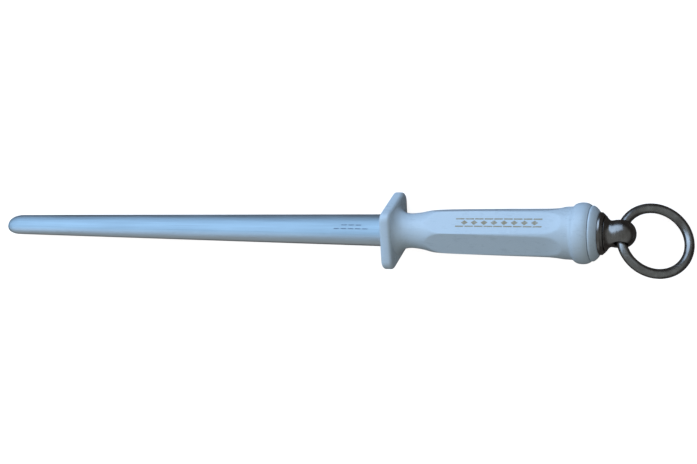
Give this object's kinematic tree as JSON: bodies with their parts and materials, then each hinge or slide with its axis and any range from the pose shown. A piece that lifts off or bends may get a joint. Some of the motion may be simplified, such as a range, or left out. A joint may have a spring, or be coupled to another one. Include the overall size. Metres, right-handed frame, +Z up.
{
  "type": "knife sharpening steel",
  "caption": "Knife sharpening steel: tapered oval rod, hexagonal plastic handle with a diamond-shaped finger guard, and a free ring in a swivelling ball eye.",
  "frame": {"origin": "point of the finger guard's lower flat side straight below the tool's axis", "axes": "+X along the tool's axis towards the rod's tip, +Z up, away from the surface the guard lies on"},
  "size_m": [0.4875, 0.0486, 0.0432],
  "materials": {
    "rod_steel": "satin, fine lengthwise lines",
    "white_plastic": "semi-gloss moulded",
    "dark_steel": "tarnished satin",
    "ring_steel": "tarnished satin wire",
    "zinc_steel": "zinc plated",
    "bush_brass": "turned"
  },
  "bodies": {
    "handle": {"sharpening_rod": "rod_steel", "guard_plate": "white_plastic", "handle_grip": "white_plastic", "end_cap": "white_plastic", "tang_washer": "zinc_steel", "tang_lock_washer": "zinc_steel", "tang_nut": "zinc_steel", "end_ferrule": "dark_steel", "swivel_bush": "bush_brass"},
    "swivel": {"swivel_eye": "dark_steel", "swivel_washer": "zinc_steel", "swivel_clip": "zinc_steel"},
    "ring": {"carry_ring": "ring_steel"}
  },
  "joints": [
    {"name": "swivel_spin", "type": "hinge", "parent": "handle", "child": "swivel", "pos_m": [-0.144, 0, 0.01782], "axis": [1, 0, 0], "continuous": true},
    {"name": "ring_swing", "type": "hinge", "parent": "swivel", "child": "ring", "pos_m": [-0.144, 0, 0.01782], "axis": [0, -0.8151, -0.5793], "range_deg": [-171, 118]}
  ]
}
